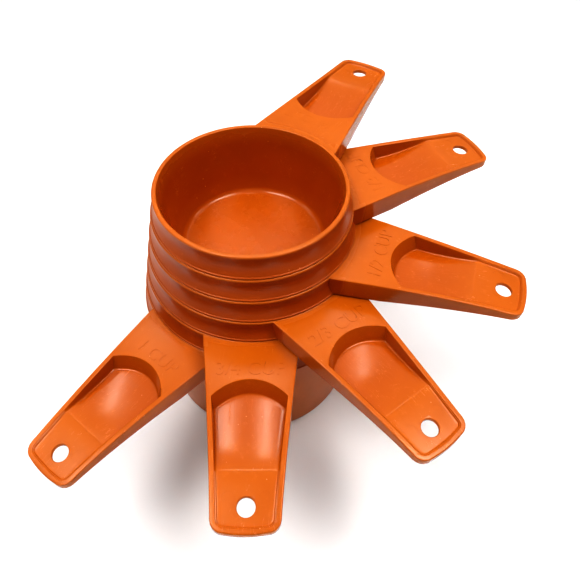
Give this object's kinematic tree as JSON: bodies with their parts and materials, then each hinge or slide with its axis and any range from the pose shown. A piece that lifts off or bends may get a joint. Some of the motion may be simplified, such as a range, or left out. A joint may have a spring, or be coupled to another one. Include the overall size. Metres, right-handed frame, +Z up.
{
  "type": "measuring cup set",
  "caption": "Nesting measuring cups with flared collars, stacked on one axis with their scooped, holed handles fanned out.",
  "frame": {"origin": "centre of the largest cup's flat underside, on the stack's axis", "axes": "+Z up along the stack's axis; the handles lie level, fanned from +X round to -Y and -X, with the largest gap between handles at the back"},
  "size_m": [0.1534, 0.1658, 0.0966],
  "materials": {
    "orange_plastic": "semi-gloss moulded polypropylene, bright orange right through"
  },
  "bodies": {
    "quarter_body": {"quarter_cup": "orange_plastic"},
    "third_body": {"third_cup": "orange_plastic"},
    "half_body": {"half_cup": "orange_plastic"},
    "two_thirds_body": {"two_thirds_cup": "orange_plastic"},
    "three_quarters_body": {"three_quarters_cup": "orange_plastic"},
    "one_body": {"one_cup": "orange_plastic"}
  },
  "joints": [
    {"name": "quarter_swivel", "type": "hinge", "parent": "third_body", "child": "quarter_body", "pos_m": [0, 0, 0.09655], "axis": [0, 0, 1], "continuous": true},
    {"name": "third_swivel", "type": "hinge", "parent": "half_body", "child": "third_body", "pos_m": [0, 0, 0.0887], "axis": [0, 0, 1], "continuous": true},
    {"name": "half_swivel", "type": "hinge", "parent": "two_thirds_body", "child": "half_body", "pos_m": [0, 0, 0.08085], "axis": [0, 0, 1], "continuous": true},
    {"name": "two_thirds_swivel", "type": "hinge", "parent": "three_quarters_body", "child": "two_thirds_body", "pos_m": [0, 0, 0.073], "axis": [0, 0, 1], "continuous": true},
    {"name": "three_quarters_swivel", "type": "hinge", "parent": "one_body", "child": "three_quarters_body", "pos_m": [0, 0, 0.06515], "axis": [0, 0, 1], "continuous": true}
  ]
}
